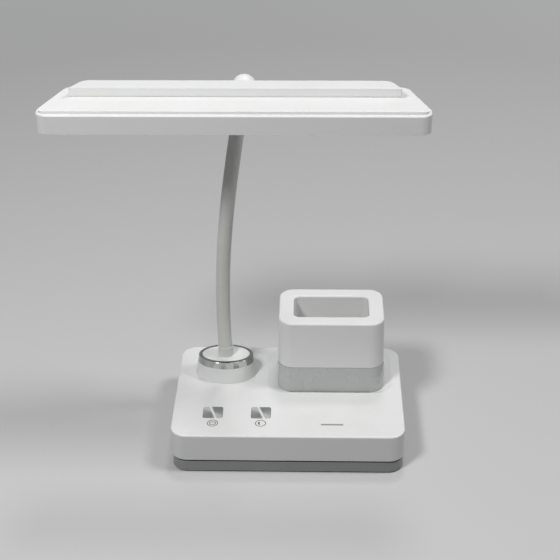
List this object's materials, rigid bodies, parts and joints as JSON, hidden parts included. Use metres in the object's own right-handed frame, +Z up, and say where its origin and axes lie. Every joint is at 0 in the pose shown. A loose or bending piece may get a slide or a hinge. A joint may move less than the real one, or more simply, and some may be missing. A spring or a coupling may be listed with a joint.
{
  "type": "desk lamp with pen holder and drawer base",
  "caption": "Desk lamp with a bar-shaped head on a bendable neck, a rectangular base with a shallow drawer, press buttons and a pen holder.",
  "frame": {"origin": "on the desk, under the middle of the base", "axes": "+Z up, the front with the buttons faces -Y, +X to the right seen from the front, the long way of base and head along X"},
  "size_m": [0.3, 0.14, 0.3316],
  "materials": {
    "white_plastic": "white, smooth satin gloss",
    "grey_plastic": "cool grey, satin",
    "tier_plastic": "mid grey, satin",
    "dark_grey_plastic": "mid grey, satin",
    "spun_metal": "spun",
    "chrome": "polished",
    "lens": "pale translucent",
    "opal": "opal white",
    "inner_plastic": "moulded",
    "rubber": "matte",
    "neck_skin": "pale soft sleeve, satin",
    "steel": "zinc plated",
    "aluminium": "plain",
    "board": "green circuit board",
    "white_board": "white circuit board",
    "cell_wrap": "shrink sleeve",
    "chip": "phosphor yellow"
  },
  "bodies": {
    "base": {"base_shell": "white_plastic", "shell_floor": "inner_plastic", "drawer_chassis": "tier_plastic", "rubber_feet": "rubber", "chassis_screws": "steel", "floor_screws": "steel", "ballast_plate": "steel", "main_board": "board", "board_screws": "steel", "tact_switches": "dark_grey_plastic", "indicator_led": "chip", "indicator_lens": "lens", "battery_holder": "inner_plastic", "battery_cells": "cell_wrap", "inlet_board": "board", "power_inlet": "steel", "pod_cone": "white_plastic", "pod_ring": "chrome", "pod_disc": "white_plastic", "holder_plinth": "grey_plastic", "holder_cup": "white_plastic", "holder_screws": "steel", "neck_stud": "steel", "neck_nut": "steel", "neck_collar": "neck_skin", "neck_sleeve_0": "neck_skin"},
    "drawer": {"drawer_tray": "tier_plastic", "drawer_stops": "dark_grey_plastic"},
    "power_button": {"power_button_cap": "inner_plastic", "power_button_plate": "spun_metal"},
    "dimmer_button": {"dimmer_button_cap": "inner_plastic", "dimmer_button_plate": "spun_metal"},
    "neck_1": {"neck_sleeve_1": "neck_skin", "neck_core_1": "steel"},
    "neck_2": {"neck_sleeve_2": "neck_skin", "neck_core_2": "steel"},
    "neck_3": {"neck_sleeve_3": "neck_skin", "neck_core_3": "steel"},
    "neck_4": {"neck_sleeve_4": "neck_skin", "neck_core_4": "steel"},
    "neck_5": {"neck_sleeve_5": "neck_skin", "neck_core_5": "steel"},
    "neck_6": {"neck_sleeve_6": "neck_skin", "neck_core_6": "steel", "neck_ferrule": "white_plastic"},
    "head": {"head_housing": "white_plastic", "head_panel": "white_plastic", "head_ridge": "white_plastic", "head_bezel": "white_plastic", "diffuser": "opal", "reflector": "inner_plastic", "heat_spreader": "aluminium", "led_board": "white_board", "led_chips": "chip", "head_screws": "steel", "hinge_bracket": "steel", "hinge_pin": "steel", "friction_washers": "dark_grey_plastic"}
  },
  "joints": [
    {"name": "drawer_slide", "type": "slide", "parent": "base", "child": "drawer", "axis": [0, -1, 0], "range_m": [0, 0.085]},
    {"name": "power_press", "type": "slide", "parent": "base", "child": "power_button", "axis": [0, 0, -1], "range_m": [0, 0.0008], "stiffness_N_per_m": 1500},
    {"name": "dimmer_press", "type": "slide", "parent": "base", "child": "dimmer_button", "axis": [0, 0, -1], "range_m": [0, 0.0008], "stiffness_N_per_m": 1500},
    {"name": "neck_bend_1", "type": "hinge", "parent": "base", "child": "neck_1", "pos_m": [-0.05784, 0.02699, 0.09742], "axis": [1, 0, 0], "range_deg": [-20, 20]},
    {"name": "neck_bend_2", "type": "hinge", "parent": "neck_1", "child": "neck_2", "pos_m": [-0.05722, 0.02534, 0.13479], "axis": [0, 1, 0], "range_deg": [-20, 20]},
    {"name": "neck_bend_3", "type": "hinge", "parent": "neck_2", "child": "neck_3", "pos_m": [-0.05508, 0.02299, 0.1709], "axis": [1, 0, 0], "range_deg": [-20, 20]},
    {"name": "neck_bend_4", "type": "hinge", "parent": "neck_3", "child": "neck_4", "pos_m": [-0.0516, 0.02038, 0.20652], "axis": [0, 1, 0], "range_deg": [-20, 20]},
    {"name": "neck_bend_5", "type": "hinge", "parent": "neck_4", "child": "neck_5", "pos_m": [-0.04694, 0.01797, 0.24246], "axis": [1, 0, 0], "range_deg": [-20, 20]},
    {"name": "neck_bend_6", "type": "hinge", "parent": "neck_5", "child": "neck_6", "pos_m": [-0.04125, 0.01619, 0.27948], "axis": [0, 1, 0], "range_deg": [-20, 20]},
    {"name": "head_tilt", "type": "hinge", "parent": "neck_6", "child": "head", "pos_m": [-0.03529, -0.0015, 0.315], "axis": [1, 0, 0], "range_deg": [-25, 50]}
  ]
}
